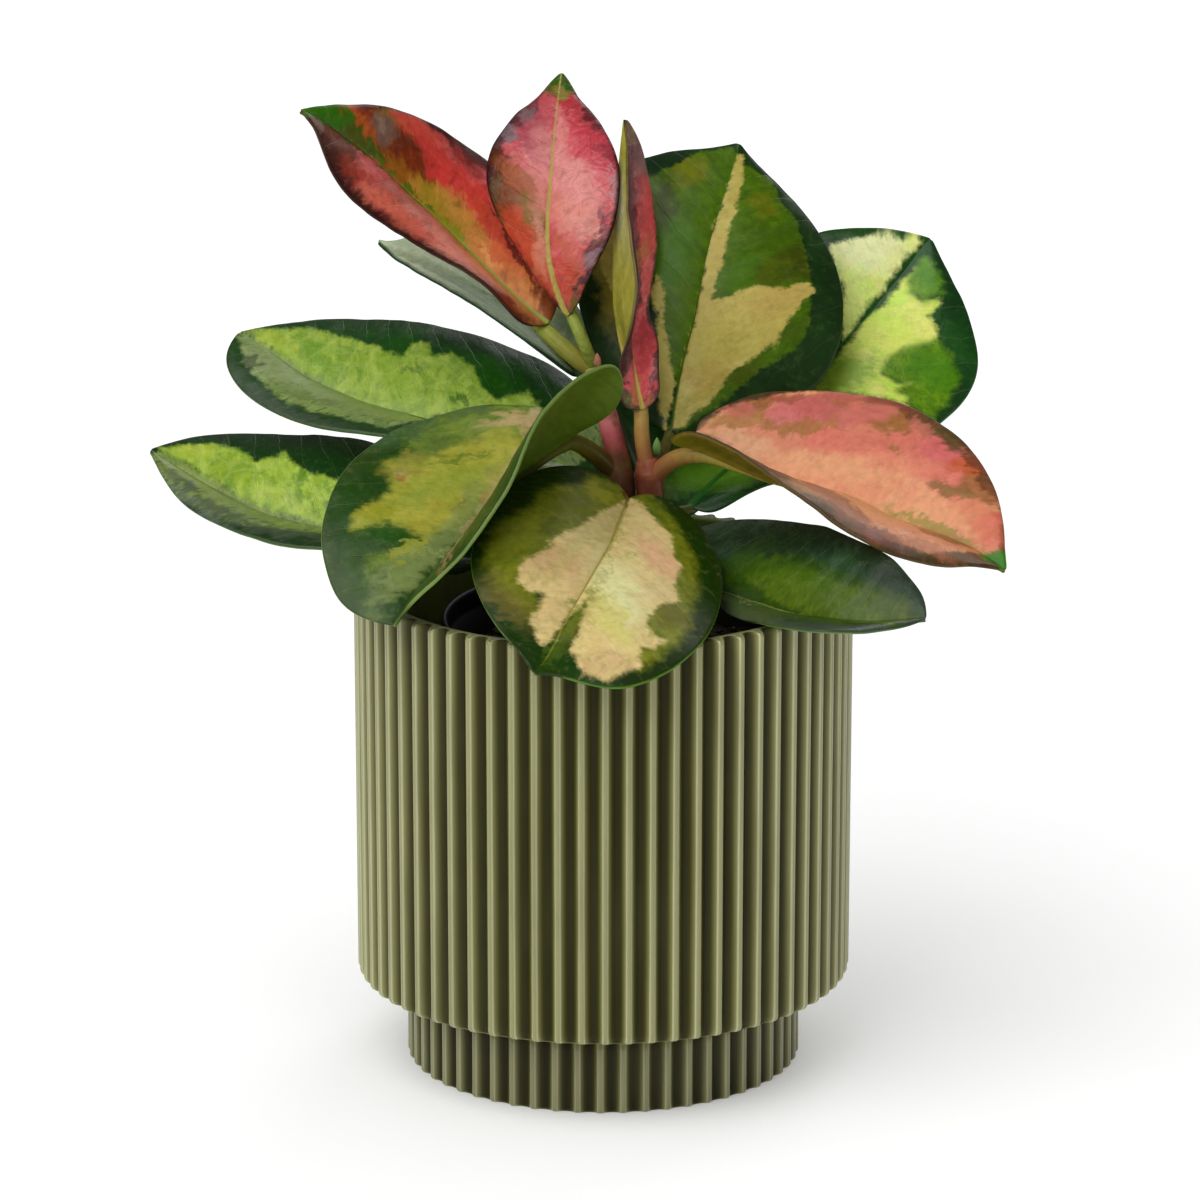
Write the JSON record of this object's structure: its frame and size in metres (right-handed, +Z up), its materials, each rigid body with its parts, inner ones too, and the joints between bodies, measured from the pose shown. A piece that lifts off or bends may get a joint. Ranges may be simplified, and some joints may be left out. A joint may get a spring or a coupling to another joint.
{
  "type": "potted tricolor wax plant",
  "caption": "Potted tricolor wax plant: variegated green, cream and pink leathery leaves on short stems, in a black growing pot inside an olive ribbed cover pot.",
  "frame": {"origin": "centre of the cover pot's flat underside, on the floor", "axes": "+Z up along the cover pot's axis; the plant's front, where the round cream leaf hangs over the rim, faces -Y; +X is to the right seen from the front"},
  "size_m": [0.2385, 0.1653, 0.2703],
  "materials": {
    "cover_pot_plastic": "satin moulded plastic, olive sage",
    "growing_pot_plastic": "thin glossy black plastic",
    "soil": "matte crumbly potting mix",
    "stem": "smooth red-brown stem",
    "leaf_green": "waxy green leaf with yellow-green and cream centre",
    "leaf_cream": "waxy leaf with broad cream centre and green margin",
    "leaf_pink": "waxy young leaf, pink and salmon with dark margin",
    "bud": "small soft bud"
  },
  "bodies": {
    "root": {"cover_pot": "cover_pot_plastic", "pot_foot": "cover_pot_plastic", "growing_pot": "growing_pot_plastic", "potting_soil": "soil", "stem_left": "stem", "stem_right": "stem", "leaf_pink_left": "leaf_pink", "leaf_pink_top": "leaf_pink", "leaf_pink_twisted": "leaf_pink", "leaf_cream_large": "leaf_cream", "leaf_pale_back": "leaf_green", "leaf_folded_front": "leaf_green", "leaf_round_front": "leaf_cream", "leaf_left_upper": "leaf_green", "leaf_left_lower": "leaf_green", "leaf_grey_back": "leaf_green", "leaf_pink_right": "leaf_pink", "leaf_right_lower": "leaf_green", "bud_left": "bud", "bud_right": "bud"}
  },
  "joints": []
}
